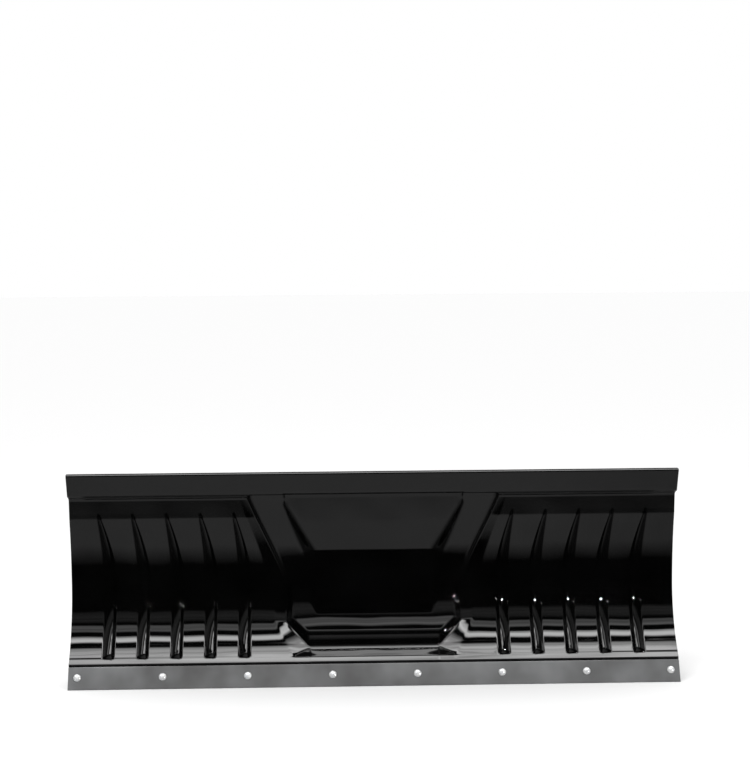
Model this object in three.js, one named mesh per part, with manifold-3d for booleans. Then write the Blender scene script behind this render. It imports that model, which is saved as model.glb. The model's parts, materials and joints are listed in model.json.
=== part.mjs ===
// Snow plow blade for an all-terrain vehicle: a pressed steel mouldboard with a bolted wear bar, which trips
// forward against two springs on a hinged frame, and swivels on the king bolt of a push head.
// Millimetres, +Z up. The blade faces -Y. In the design, Y is 0 at the wear bar's front bottom edge.
import * as THREE from 'three';
import { mergeVertices } from 'three/addons/utils/BufferGeometryUtils.js';
import Module from 'manifold-3d';

const wasm = await Module();
wasm.setup();

// ---------------------------------------------------------------- driving dimensions

const gap = 0.3; // between pieces that rest on each other
const bladeWidth = 1320;
const bladeHeight = 460;
const sheetThickness = 3;

const wearBar = { height: 51, thickness: 6, lean: degrees(-27), edgeRadius: 2 };
const backingBar = { bottom: 9, top: 45, thickness: 5 };
const bolts = { count: 8, pitch: 183, up: 27, holeRadius: 4.7, shankRadius: 4, headRadius: 7.8, headHeight: 4.8 };
const nut = { cornerRadius: 7.5, holeRadius: 5, height: 6.5 };

const curl = { depth: 106, height: 205.6, lowerRadius: 190, upperRadius: 460, bandLean: degrees(26) };
const joggle = { bottom: 8, start: 51.5, end: 54.5 };
const flange = { outerRadius: 3.5, length: 16 };

const band = { proud: 8.5, stepFoot: 396, stepCrest: 414 };
const pocket = { from: 355, slope: 0.25 };
const panel = { proud: 19, swellFrom: 300, swellTo: 110, wallFoot: 79, wallCrest: 98 };
const facet = { upright: 77, crease: 284, top: 410, topDepth: 52, stepFoot: 406.5, stepCrest: 418.5 };
const borderFoot = 58;
const gills = { count: 5, first: 270, pitch: 73.3, height: 11, wall: 6, ramp: 26, foot: 58.5, footTop: 61.5 };
const gillTop = { from: 75, to: 366, fall: 0.7 };
const gillCurve = { from: 235, scale: 140, sweep: 34, power: 1.4, endShare: 0.37 };

const hinge = { y: 95, z: 72, pinRadius: 8, holeRadius: 8.5, earRadius: 21 };
const hingeRib = { x: 150, thickness: 8 };
const cheek = { x: 138, thickness: 8, lugY: 205, lugZ: 222 };
const outerRib = { x: 471, thickness: 6 };
const skid = { y: 150, radius: 50, postRadius: 11, sleeveRadius: 16, sleeveBottom: 75, sleeveTop: 135, bossTop: 26 };
const anchor = { size: 24, y: 98, z: 385, eyeY: 134 };
const frame = { halfWidth: 133.7, front: 140, back: 180, lowerPlate: 62, upperPlate: 118, plate: 8 };
const king = { y: 255, boltRadius: 12, bushRadius: 15, barrelRadius: 28, barrelBottom: 72, barrelTop: 116 };
const quadrant = { radius: 125, spread: 45, holeCircle: 105, holeStep: 15, holesEachSide: 2, holeRadius: 8.8 };
const headBox = { width: 70, bottom: 72, top: 116, back: 419.7, wall: 4 };
const rearFlange = { width: 180, height: 110, thickness: 10, y: 420, holesX: 140, holesZ: 70, holeRadius: 6.5 };
const lock = { y: 360, pinRadius: 8, tip: 128.5, guideRadius: 13, lowGuide: 132, highGuide: 196, top: 236 };

const footprintCentre = (rearFlange.y + rearFlange.thickness) / 2; // the design's Y that becomes 0

// ---------------------------------------------------------------- materials

const finish = (color, roughness, metalness) => new THREE.MeshStandardMaterial({ color, roughness, metalness });
const blackEnamel = finish(0x0b0b0c, 0.15, 0.1);
const frameBlack = finish(0x151516, 0.45, 0.1);
const zinc = finish(0xd4d7d8, 0.3, 0.9);
const springSteel = finish(0x8f9396, 0.35, 0.9);
const castSteel = finish(0x1d1d1e, 0.6, 0.4);
const rubber = finish(0x1a1a1a, 0.85, 0);
const bronze = finish(0xa8783c, 0.4, 0.8);

// ---------------------------------------------------------------- small helpers

function degrees(angle) {
  return THREE.MathUtils.degToRad(angle);
}

function clamp01(value) {
  return Math.min(1, Math.max(0, value));
}

function smooth(value) {
  const t = clamp01(value);
  return t * t * (3 - 2 * t);
}

// Value at `at` on a line of [position, value] pairs, level beyond its ends.
function along(pairs, at) {
  const next = pairs.findIndex(([position]) => position >= at);
  if (next === 0) return pairs[0][1];
  if (next < 0) return pairs[pairs.length - 1][1];
  const [p0, v0] = pairs[next - 1];
  const [p1, v1] = pairs[next];
  return v0 + (v1 - v0) * (at - p0) / (p1 - p0);
}

function solidOf(geometry) {
  const bare = geometry.clone();
  for (const name of Object.keys(bare.attributes)) {
    if (name !== 'position') bare.deleteAttribute(name);
  }
  const merged = mergeVertices(bare, 1e-4);
  const index = merged.index.array;
  const corners = [];
  for (let i = 0; i < index.length; i += 3) {
    const [a, b, c] = [index[i], index[i + 1], index[i + 2]];
    if (a !== b && b !== c && c !== a) corners.push(a, b, c);
  }
  const vertProperties = new Float32Array(merged.attributes.position.array);
  return new wasm.Manifold(new wasm.Mesh({ numProp: 3, vertProperties, triVerts: new Uint32Array(corners) }));
}

function geometryOf(solid) {
  const mesh = solid.getMesh();
  const geometry = new THREE.BufferGeometry();
  geometry.setAttribute('position', new THREE.BufferAttribute(mesh.vertProperties, 3));
  geometry.setIndex(new THREE.BufferAttribute(mesh.triVerts, 1));
  geometry.computeVertexNormals();
  return geometry;
}

function cut(geometry, ...tools) {
  return geometryOf(tools.reduce((solid, tool) => solid.subtract(solidOf(tool)), solidOf(geometry)));
}

function join(geometry, ...more) {
  return geometryOf(more.reduce((solid, next) => solid.add(solidOf(next)), solidOf(geometry)));
}

const root = new THREE.Group();
root.position.y = -footprintCentre;

function addPart(name, geometry, material, parent = root) {
  const mesh = new THREE.Mesh(geometry, material);
  mesh.name = name;
  parent.add(mesh);
  return mesh;
}

function shapeOf(points, holes = []) {
  const shape = new THREE.Shape(points.map(([a, b]) => new THREE.Vector2(a, b)));
  for (const [a, b, radius] of holes) {
    const hole = new THREE.Path();
    hole.absarc(a, b, radius, 0, 2 * Math.PI, true);
    shape.holes.push(hole);
  }
  return shape;
}

function extruded(shape, depth, curveSegments = 6) {
  return new THREE.ExtrudeGeometry(shape, { depth, bevelEnabled: false, curveSegments });
}

// A plate whose outline is drawn in (y, z), with its thickness centred on x.
function sidePlate(points, x, thickness, holes = []) {
  const turn = new THREE.Matrix4().makeBasis(
    new THREE.Vector3(0, 1, 0), new THREE.Vector3(0, 0, 1), new THREE.Vector3(1, 0, 0));
  return extruded(shapeOf(points, holes), thickness).applyMatrix4(turn).translate(x - thickness / 2, 0, 0);
}

// A plate whose outline is drawn in (x, y), from the height z upwards.
function flatPlate(points, z, thickness, holes = []) {
  return extruded(shapeOf(points, holes), thickness).translate(0, 0, z);
}

function box(width, depth, height, x, y, z) {
  return new THREE.BoxGeometry(width, depth, height).translate(x, y, z);
}

// A turned piece about Z, from [radius, height] pairs that start and end on the axis or close on themselves.
function turned(pairs, segments = 12) {
  const profile = pairs.map(([radius, height]) => new THREE.Vector2(radius, height));
  return new THREE.LatheGeometry(profile, segments).rotateX(Math.PI / 2);
}

function tube(outer, inner, bottom, top, segments = 16) {
  return turned([[inner, bottom], [outer, bottom], [outer, top], [inner, top], [inner, bottom]], segments);
}

function rod(radius, bottom, top, segments = 12) {
  return turned([[0, bottom], [radius, bottom], [radius, top], [0, top]], segments);
}

function arcPoints(y, z, radius, from, to, steps) {
  return Array.from({ length: steps + 1 }, (_, i) => {
    const angle = degrees(from + (to - from) * i / steps);
    return [y + radius * Math.cos(angle), z + radius * Math.sin(angle)];
  });
}

const sides = [['left', -1], ['right', 1]];

// ---------------------------------------------------------------- mouldboard

// A station is a point of the unpressed side profile, with its forward lean from upright.
const barPoint = (up, out = 0) => ({
  y: -up * Math.sin(wearBar.lean) - out * Math.cos(wearBar.lean),
  z: up * Math.cos(wearBar.lean) - out * Math.sin(wearBar.lean),
});

function barStation(up, set) {
  return { ...barPoint(up), lean: wearBar.lean, set };
}

function curlStation(z) {
  const radius = z < curl.height ? curl.lowerRadius : curl.upperRadius;
  const lean = Math.asin((z - curl.height) / radius);
  return { y: curl.depth - radius * (1 - Math.cos(lean)), z, lean };
}

const bandStart = curlStation(curl.height + curl.upperRadius * Math.sin(curl.bandLean));
const bendRadius = flange.outerRadius - band.proud; // of the base profile, which lies behind the proud surface
const bandEndHeight = bladeHeight - band.proud - bendRadius * (1 + Math.sin(curl.bandLean));

function bandStation(z) {
  return { y: bandStart.y - (z - bandStart.z) * Math.tan(curl.bandLean), z, lean: curl.bandLean };
}

function bendStation(angle, run = 0) {
  const end = bandStation(bandEndHeight);
  const lean = degrees(angle);
  return {
    y: end.y - bendRadius * (Math.cos(lean) - Math.cos(curl.bandLean)) + run,
    z: end.z - bendRadius * (Math.sin(lean) - Math.sin(curl.bandLean)),
    lean,
  };
}

function lipStation() {
  const edge = barPoint(joggle.end);
  return { ...edge, lean: degrees(-41) };
}

// The pressed pattern. Distances u run outwards from the blade's middle, heights z up the profile.
const wallFootLine = [[79, 141], [128, 190], [205, 187], [405, 277]];
const wallWidthLine = [[98, 14], [128, 10], [205, 9], [260, 8]];
const borderEdgeLine = [[58, 176], [118, 212], [130, 217], [205, 219], [405, 294]];
const borderDepthLine = [[79, 3.5], [130, 6.5], [205, 7], [300, 6], [405, 0]];
const facetInnerLine = [[98, 112], [142, 122], [200, 128], [288, 128], [390, 191], [420, 191]];
const facetOuterLine = [[98, 118], [142, 128], [200, 142], [280, 151], [390, 195], [420, 194]];

const panelProud = (z) => {
  const swell = smooth((panel.swellFrom - z) / (panel.swellFrom - panel.swellTo));
  return band.proud + (panel.proud - band.proud) * swell;
};

// How far the panel's two flat facets stand off the base profile: an upright one, and one that leans forward.
function facetProud(station) {
  const { y, z, lean } = station;
  const slope = (facet.upright - facet.topDepth) / (facet.top - facet.crease);
  const upright = (y - facet.upright) / Math.cos(lean);
  const leaning = (y - facet.upright + (z - facet.crease) * slope) / (Math.cos(lean) + Math.sin(lean) * slope);
  return Math.max(upright, leaning);
}

function gillSweep(z) {
  const rise = Math.min(z, gillTop.to) - gillCurve.from;
  return gillCurve.sweep * Math.pow(Math.max(0, rise) / gillCurve.scale, gillCurve.power);
}

// Distances of one gill's wall foot, crest and outer end from the blade's middle. The gill closes as it rises.
function gillEdges(k, z) {
  const start = gills.first + gills.pitch * k;
  const foot = start + gillSweep(z);
  const left = clamp01((gillTop.to - z) / (gillTop.to - gillTop.from));
  const crest = foot + gills.wall * (0.3 + 0.7 * left);
  return [foot, crest, start + gills.ramp + gillCurve.endShare * gillSweep(z)];
}

function gillHeight(u, z) {
  const rise = clamp01((z - gills.foot) / (gills.footTop - gills.foot));
  const left = clamp01((gillTop.to - z) / (gillTop.to - gillTop.from));
  const full = gills.height * rise * Math.pow(left, gillTop.fall);
  let height = 0;
  for (let k = 0; k < gills.count; k += 1) {
    const [foot, crest, end] = gillEdges(k, z);
    const share = Math.min((u - foot) / (crest - foot), (end - u) / (end - crest));
    height = Math.max(height, full * share);
  }
  return height;
}

function borderHeight(u, z) {
  const foot = along(wallFootLine, z);
  const edge = along(borderEdgeLine, z);
  const across = clamp01((edge - u) / (edge - foot));
  const below = clamp01((z - borderFoot) / (panel.wallFoot - borderFoot));
  return -along(borderDepthLine, z) * Math.min(across, below);
}

// Under the top band the sheet stands steeper, so the side zones end in a pocket that is open at the blade's ends.
const pocketHeight = (z) => -pocket.slope * Math.max(0, z - pocket.from);

function panelShare(u, z) {
  const foot = along(wallFootLine, z);
  const across = clamp01((foot - u) / along(wallWidthLine, z));
  const upFromBottom = clamp01((z - panel.wallFoot) / (panel.wallCrest - panel.wallFoot));
  const topStep = clamp01((z - band.stepFoot) / (band.stepCrest - band.stepFoot));
  return Math.max(Math.min(across, upFromBottom), topStep);
}

function facetShare(u, z) {
  const inner = along(facetInnerLine, z);
  const outer = along(facetOuterLine, z);
  const topStep = clamp01((facet.stepCrest - z) / (facet.stepCrest - facet.stepFoot));
  return Math.min(clamp01((outer - u) / (outer - inner)), topStep);
}

// Height of the pressed surface over the base profile, towards the front.
function pressedHeight(u, station) {
  if (station.set !== undefined) return station.set;
  const z = Math.min(station.z, bandEndHeight);
  const share = panelShare(u, z);
  const low = pocketHeight(z) + borderHeight(u, z) + gillHeight(u, z);
  const raised = panelProud(z);
  const chord = facetProud(station) - raised;
  const facetRise = z > facet.crease ? chord : Math.max(0, chord);
  const centre = z > band.stepCrest + 10 ? 0 : facetRise * facetShare(u, z);
  return low + (raised - low) * share + centre;
}

const stations = [
  barStation(joggle.bottom, -wearBar.thickness - gap),
  barStation(joggle.start, -wearBar.thickness - gap),
  lipStation(),
  ...[58.5, 61.5, 70, 79, 98, 113, 128, 160, 205, 242, 284, 325, 355, 366, 382, 396, 406.5].map(curlStation),
  ...[414, 418.5, bandEndHeight].map(bandStation),
  ...[-10, -50, -90].map((angle) => bendStation(angle)),
  bendStation(-90, flange.length),
];

// Distances from the middle of the grid lines that follow the pattern's edges at one height.
function gridLines(z) {
  const height = Math.min(z, 420);
  const foot = along(wallFootLine, height);
  const lines = [0, 64, along(facetInnerLine, height), along(facetOuterLine, height)];
  lines.push(foot - along(wallWidthLine, height), foot, along(borderEdgeLine, height));
  for (let k = 0; k < gills.count; k += 1) {
    lines.push(...gillEdges(k, height));
  }
  lines.push(bladeWidth / 2);
  return lines;
}

// The sheet as a closed grid, between `front` and `back` millimetres off the pressed surface.
function sheetSolid(front, back) {
  const rows = stations.map((station) => {
    const half = gridLines(station.z);
    return [...half.slice(1).reverse().map((u) => -u), ...half].map((x) => {
      const height = pressedHeight(Math.abs(x), station);
      const [ny, nz] = [-Math.cos(station.lean), -Math.sin(station.lean)];
      return [front, back].map((off) => [x, station.y + ny * (height + off), station.z + nz * (height + off)]);
    });
  });
  const [rowCount, columnCount] = [rows.length, rows[0].length];
  const position = rows.flat(3);
  const at = (row, column, side) => (row * columnCount + column) * 2 + side;
  const index = [];
  const quad = (a, b, c, d) => index.push(a, b, c, a, c, d);
  for (let r = 0; r + 1 < rowCount; r += 1) {
    for (let c = 0; c + 1 < columnCount; c += 1) {
      quad(at(r, c, 0), at(r, c + 1, 0), at(r + 1, c + 1, 0), at(r + 1, c, 0));
      quad(at(r, c, 1), at(r + 1, c, 1), at(r + 1, c + 1, 1), at(r, c + 1, 1));
    }
    const last = columnCount - 1;
    quad(at(r, 0, 0), at(r + 1, 0, 0), at(r + 1, 0, 1), at(r, 0, 1));
    quad(at(r, last, 0), at(r, last, 1), at(r + 1, last, 1), at(r + 1, last, 0));
  }
  for (let c = 0; c + 1 < columnCount; c += 1) {
    const last = rowCount - 1;
    quad(at(0, c, 0), at(0, c, 1), at(0, c + 1, 1), at(0, c + 1, 0));
    quad(at(last, c, 0), at(last, c + 1, 0), at(last, c + 1, 1), at(last, c, 1));
  }
  const geometry = new THREE.BufferGeometry();
  geometry.setAttribute('position', new THREE.Float32BufferAttribute(position, 3));
  geometry.setIndex(index);
  return geometry;
}

const boltPlaces = Array.from({ length: bolts.count }, (_, i) => (i - (bolts.count - 1) / 2) * bolts.pitch);

// A piece turned about Z is laid along the bolt's axis, its +Z pointing out of the bar's front face.
function onBoltAxis(geometry, x) {
  const seat = barPoint(bolts.up);
  return geometry.rotateX(Math.PI / 2 + wearBar.lean).translate(x, seat.y, seat.z);
}

const boltHole = (x) => onBoltAxis(rod(bolts.holeRadius, -40, 20, 10), x);
const sheetClearance = sheetSolid(30, -sheetThickness - gap);

// A flat bar along the blade, drawn by its corners (up, out) on the bar's own slope.
function slopedBar(corners) {
  const outline = corners.map(([up, out]) => {
    const point = barPoint(up, out);
    return [point.y, point.z];
  });
  return sidePlate(outline, 0, bladeWidth);
}

function makeBladeFront() {
  addPart('mouldboard', cut(sheetSolid(0, -sheetThickness), ...boltPlaces.map(boltHole)), blackEnamel);
  const { height, thickness, edgeRadius, lean } = wearBar;
  const groundUp = thickness * Math.tan(-lean);
  const bar = slopedBar([[0, 0], [height - edgeRadius, 0], [height, -edgeRadius], [height, -thickness],
    [groundUp, -thickness]]);
  addPart('wear_bar', cut(bar, ...boltPlaces.map(boltHole)), blackEnamel);
  const face = -wearBar.thickness - sheetThickness - 2 * gap;
  const rear = face - backingBar.thickness;
  const clampBar = slopedBar([[backingBar.bottom, face], [backingBar.top, face],
    [backingBar.top, rear], [backingBar.bottom, rear]]);
  addPart('backing_bar', cut(clampBar, ...boltPlaces.map(boltHole)), frameBlack);
  boltPlaces.forEach((x, i) => {
    const { shankRadius, headRadius, headHeight } = bolts;
    const bolt = turned([[0, rear - 10], [shankRadius, rear - 10], [shankRadius, gap], [headRadius, gap],
      [headRadius * 0.9, headHeight * 0.5], [headRadius * 0.5, headHeight * 0.92], [0, headHeight]], 10);
    addPart(`wear_bolt_${i + 1}`, onBoltAxis(bolt, x), zinc);
    const hexNut = tube(nut.cornerRadius, nut.holeRadius, rear - gap - nut.height, rear - gap, 6);
    addPart(`wear_nut_${i + 1}`, onBoltAxis(hexNut, x), zinc);
  });
}

// ---------------------------------------------------------------- ribs, skids and spring anchor

function makeHingeRib(name, sign) {
  const outline = [[24, 58], [78, 56], ...arcPoints(hinge.y, hinge.z, hinge.earRadius, -120, 15, 6),
    [124, 150], [128, 230], [122, 330], [112, 366], [112, 402], [86, 440], [56, 457], [34, 457], [34, 430],
    [52, 340], [68, 250], [66, 160], [50, 100]];
  const plate = sidePlate(outline, sign * hingeRib.x, hingeRib.thickness, [[hinge.y, hinge.z, hinge.holeRadius]]);
  addPart(name, cut(plate, sheetClearance), frameBlack);
}

function makeOuterRib(name, sign) {
  const back = skid.y - skid.sleeveRadius - gap;
  const outline = [[24, 58], [110, 66], [back, 76], [back, skid.sleeveTop - 1], [124, skid.sleeveTop + 1],
    [124, 240], [110, 330], [88, 400], [56, 457], [34, 457], [36, 425], [66, 340], [82, 250], [76, 160], [52, 100]];
  addPart(name, cut(sidePlate(outline, sign * outerRib.x, outerRib.thickness), sheetClearance), frameBlack);
}

function makeSpringAnchor() {
  const { size, y, z } = anchor;
  const length = 2 * (hingeRib.x - hingeRib.thickness / 2 - gap);
  const tools = sides.map(([, sign]) => rod(4.6, -30, 30, 10).rotateX(Math.PI / 2).translate(sign * cheek.x, y, z));
  addPart('spring_anchor_bar', cut(box(length, size, size, 0, y, z), ...tools), frameBlack);
}

function makeEyeBolt(side, sign) {
  const { size, y, z, eyeY } = anchor;
  const front = y - size / 2;
  const shank = rod(4, 0, eyeY - 6 - (front - 12), 10).rotateX(-Math.PI / 2).translate(0, front - 12, 0);
  const eye = new THREE.TorusGeometry(9, 3.5, 6, 12).rotateY(Math.PI / 2).translate(0, eyeY, 0);
  const eyeBolt = addPart(`spring_eye_bolt_${side}`, join(shank, eye), zinc);
  eyeBolt.position.set(sign * cheek.x, 0, z);
  const hexNut = tube(nut.cornerRadius, nut.holeRadius, 0, nut.height, 6).rotateX(Math.PI / 2);
  addPart(`spring_eye_nut_${side}`, hexNut, zinc).position.set(sign * cheek.x, front - gap, z);
}

function makeSkid(side, sign) {
  const { y, radius, postRadius, sleeveRadius, sleeveBottom, sleeveTop, bossTop } = skid;
  const place = new THREE.Group();
  place.position.set(sign * outerRib.x, y, 0);
  root.add(place);
  const bore = postRadius + 0.5;
  const top = 176;
  const pinHeight = sleeveTop + 10;
  addPart(`skid_sleeve_${side}`, tube(sleeveRadius, bore, sleeveBottom, sleeveTop), frameBlack, place);
  const dish = turned([[0, 0], [28, 0], [40, 4], [radius, 14], [radius, 18], [radius - 3, 19], [38, 9.5], [26, 6],
    [19, 6], [18, bossTop], [bore, bossTop], [bore, 5], [0, 5]], 20);
  addPart(`skid_shoe_${side}`, dish, castSteel, place);
  const crossHole = rod(4.6, -20, 20, 8).rotateY(Math.PI / 2).translate(0, 0, pinHeight);
  const post = turned([[0, 5.3], [postRadius, 5.3], [postRadius, top - 2], [postRadius - 2, top], [0, top]], 12);
  addPart(`skid_post_${side}`, cut(post, crossHole), zinc, place);
  const spacer = tube(sleeveRadius - 1, bore, bossTop + gap, sleeveBottom - gap, 12);
  addPart(`skid_spacer_${side}`, spacer, zinc, place);
  const shaft = rod(4, -20, 17, 10).rotateY(Math.PI / 2);
  const head = box(8, 12, 12, 20, 0, 0);
  const linchPin = addPart(`skid_linch_pin_${side}`, join(shaft, head), zinc, place);
  linchPin.position.z = pinHeight;
}

// A tension spring as its plain outer shape, with slim ends that reach towards the two hooks.
function makeTripSpring(side, sign) {
  const low = new THREE.Vector3(sign * cheek.x, cheek.lugY, cheek.lugZ);
  const high = new THREE.Vector3(sign * cheek.x, anchor.eyeY, anchor.z);
  const length = low.distanceTo(high);
  const [wire, coil, clear, hook] = [3, 14, 14.5, 28];
  const outline = [[0, clear], [wire, clear], [wire, hook], [coil, hook + 3], [coil, length - hook - 3],
    [wire, length - hook], [wire, length - clear], [0, length - clear]];
  const spring = addPart(`trip_spring_${side}`, turned(outline), springSteel);
  spring.position.copy(low);
  spring.quaternion.setFromUnitVectors(new THREE.Vector3(0, 0, 1), high.sub(low).normalize());
}

// ---------------------------------------------------------------- swivel frame

function makeCheek(side, sign) {
  const lug = 14;
  const outline = [...arcPoints(hinge.y, hinge.z, hinge.earRadius, 170, 270, 4), [150, 54], [188, 58], [192, 126],
    [200, 170], [219, 216], ...arcPoints(cheek.lugY, cheek.lugZ, lug, 0, 160, 5), [150, 205], [125, 198],
    [125, 168], [122, 130]];
  const holes = [[hinge.y, hinge.z, hinge.holeRadius], [cheek.lugY, cheek.lugZ, 5.5]];
  addPart(`frame_cheek_${side}`, sidePlate(outline, sign * cheek.x, cheek.thickness, holes), frameBlack);
  const pad = box(12, 50, 22, sign * cheek.x, 125 - gap - 25, 184);
  addPart(`stop_pad_${side}`, cut(pad, sheetClearance), rubber);
}

function makeHingePin(side, sign) {
  const inner = cheek.x - cheek.thickness / 2 - gap;
  const outer = hingeRib.x + hingeRib.thickness / 2;
  const pin = turned([[0, inner - 5], [11, inner - 5], [12, inner - 4], [12, inner], [hinge.pinRadius, inner],
    [hinge.pinRadius, outer + 8], [hinge.pinRadius - 1.5, outer + 9.5], [0, outer + 9.5]], 14);
  addPart(`hinge_pin_${side}`, pin.rotateY(sign * Math.PI / 2).translate(0, hinge.y, hinge.z), zinc);
  const ring = new THREE.Shape();
  ring.absarc(0, 0, 12.5, degrees(-60), degrees(240), false);
  ring.absarc(0, 0, hinge.pinRadius + gap, degrees(240), degrees(-60), true);
  const clip = extruded(ring, 2.5, 8).rotateY(Math.PI / 2).translate(-1.25, 0, 0);
  addPart(`hinge_clip_${side}`, clip, springSteel).position.set(sign * (outer + 3), hinge.y, hinge.z);
}

function makeSwivelPlates() {
  const { halfWidth, front, back, lowerPlate, upperPlate, plate } = frame;
  const { radius, spread, holeCircle, holeStep, holesEachSide, holeRadius } = quadrant;
  const fan = arcPoints(0, king.y, radius, 90 - spread, 90 + spread, 12);
  const boltHoleRadius = king.boltRadius + 0.8;
  const holes = [[0, king.y, boltHoleRadius]];
  for (let i = -holesEachSide; i <= holesEachSide; i += 1) {
    const angle = degrees(i * holeStep);
    holes.push([holeCircle * Math.sin(angle), king.y + holeCircle * Math.cos(angle), holeRadius]);
  }
  const upper = [[-halfWidth, front], [halfWidth, front], [halfWidth, back + 10], ...fan, [-halfWidth, back + 10]];
  addPart('quadrant_plate', flatPlate(upper, upperPlate, plate, holes), frameBlack);
  const nose = arcPoints(0, king.y, 38, 30, 150, 8);
  const lower = [[-halfWidth, front], [halfWidth, front], [halfWidth, back], ...nose, [-halfWidth, back]];
  addPart('lower_swivel_plate', flatPlate(lower, lowerPlate, plate, [[0, king.y, boltHoleRadius]]), frameBlack);
  const bottom = lowerPlate + plate + gap;
  const top = upperPlate - gap;
  const wall = 4;
  const middle = (front + back) / 2;
  const [depth, height] = [back - front, top - bottom];
  const beam = box(2 * halfWidth, depth, height, 0, middle, (bottom + top) / 2);
  const hollow = box(2 * halfWidth + 10, depth - 2 * wall, height - 2 * wall, 0, middle, (bottom + top) / 2);
  addPart('hinge_beam', cut(beam, hollow), frameBlack);
}

// ---------------------------------------------------------------- push head

function makePivot() {
  const { y, boltRadius, bushRadius, barrelRadius, barrelBottom, barrelTop } = king;
  const pivot = new THREE.Group();
  pivot.position.y = y;
  root.add(pivot);
  addPart('pivot_barrel', tube(barrelRadius, bushRadius + gap, barrelBottom, barrelTop, 20), frameBlack, pivot);
  addPart('king_bush', tube(bushRadius, boltRadius + gap, barrelBottom - 1.5, barrelTop + 1.5), bronze, pivot);
  const headSeat = frame.upperPlate + frame.plate + gap;
  const nutSeat = frame.lowerPlate - gap;
  const shank = rod(boltRadius, nutSeat - 20, headSeat + 2, 16);
  addPart('king_bolt', join(shank, rod(20.5, headSeat, headSeat + 14, 6)), zinc, pivot);
  addPart('king_nut', tube(20.5, boltRadius + gap, nutSeat - 16, nutSeat, 16), zinc, pivot);
}

function makeHeadBox() {
  const { width, bottom, top, back, wall } = headBox;
  const [middle, depth, height] = [(king.y + back) / 2, back - king.y, top - bottom];
  const z = (bottom + top) / 2;
  const shell = box(width, depth, height, 0, middle, z);
  const hollow = box(width - 2 * wall, depth + 10, height - 2 * wall, 0, middle, z);
  const barrelSpace = rod(king.barrelRadius + gap, bottom - 5, top + 5, 20).translate(0, king.y, 0);
  const frontSpace = box(width + 10, 60, height + 10, 0, king.y - 15, z);
  const pinHole = rod(lock.pinRadius + 1, z, top + 5).translate(0, lock.y, 0);
  addPart('head_box', cut(shell, hollow, barrelSpace, frontSpace, pinHole), frameBlack);
}

function makeRearFlange() {
  const { width, height, thickness, y, holesX, holesZ, holeRadius } = rearFlange;
  const corners = [[-1, -1], [1, -1], [1, 1], [-1, 1]];
  const outline = corners.map(([a, b]) => [a * width / 2, b * height / 2]);
  const holes = corners.map(([a, b]) => [a * holesX / 2, b * holesZ / 2, holeRadius]);
  const plate = extruded(shapeOf(outline, holes), thickness).rotateX(Math.PI / 2);
  addPart('rear_flange', plate.translate(0, y + thickness, (headBox.bottom + headBox.top) / 2), frameBlack);
}

// The lock bracket stands behind the quadrant's rim and holds the pin in two guides over it.
function makeLock() {
  const { y, pinRadius, tip, guideRadius, lowGuide, highGuide, top } = lock;
  const guide = 8;
  const upright = box(40, 8, highGuide + guide - headBox.top - gap, 0, 390,
    (highGuide + guide + headBox.top + gap) / 2);
  const arm = (z) => box(2 * guideRadius, 392 - y, guide, 0, (392 + y) / 2, z + guide / 2);
  const eye = (z) => rod(guideRadius, z, z + guide, 14).translate(0, y, 0);
  const body = join(upright, arm(lowGuide), eye(lowGuide), arm(highGuide), eye(highGuide));
  const bore = rod(pinRadius + 0.5, lowGuide - 5, highGuide + 20, 14).translate(0, y, 0);
  addPart('lock_bracket', cut(body, bore), frameBlack);
  const collar = lowGuide + guide + 28;
  const stem = turned([[0, tip], [pinRadius - 2, tip], [pinRadius, tip + 3], [pinRadius, collar],
    [guideRadius - 1, collar], [guideRadius - 1, collar + 4], [pinRadius, collar + 4], [pinRadius, top], [0, top]],
  14);
  const handle = rod(5, -34, 34, 10).rotateY(Math.PI / 2).translate(0, 0, top);
  addPart('lock_pin', join(stem, handle), zinc).position.y = y;
  const spring = tube(guideRadius - 1, pinRadius + 0.6, collar + 4 + gap, highGuide - gap, 12);
  addPart('lock_spring', spring, springSteel).position.y = y;
}

// ---------------------------------------------------------------- the whole plow

makeBladeFront();
makeSpringAnchor();
for (const [side, sign] of sides) {
  makeHingeRib(`hinge_rib_${side}`, sign);
  makeOuterRib(`outer_rib_${side}`, sign);
  makeEyeBolt(side, sign);
  makeSkid(side, sign);
  makeTripSpring(side, sign);
  makeCheek(side, sign);
  makeHingePin(side, sign);
}
makeSwivelPlates();
makePivot();
makeHeadBox();
makeRearFlange();
makeLock();

export default root;
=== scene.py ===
import json
import math

import bpy
import numpy as np
from mathutils import Matrix, Vector


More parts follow.
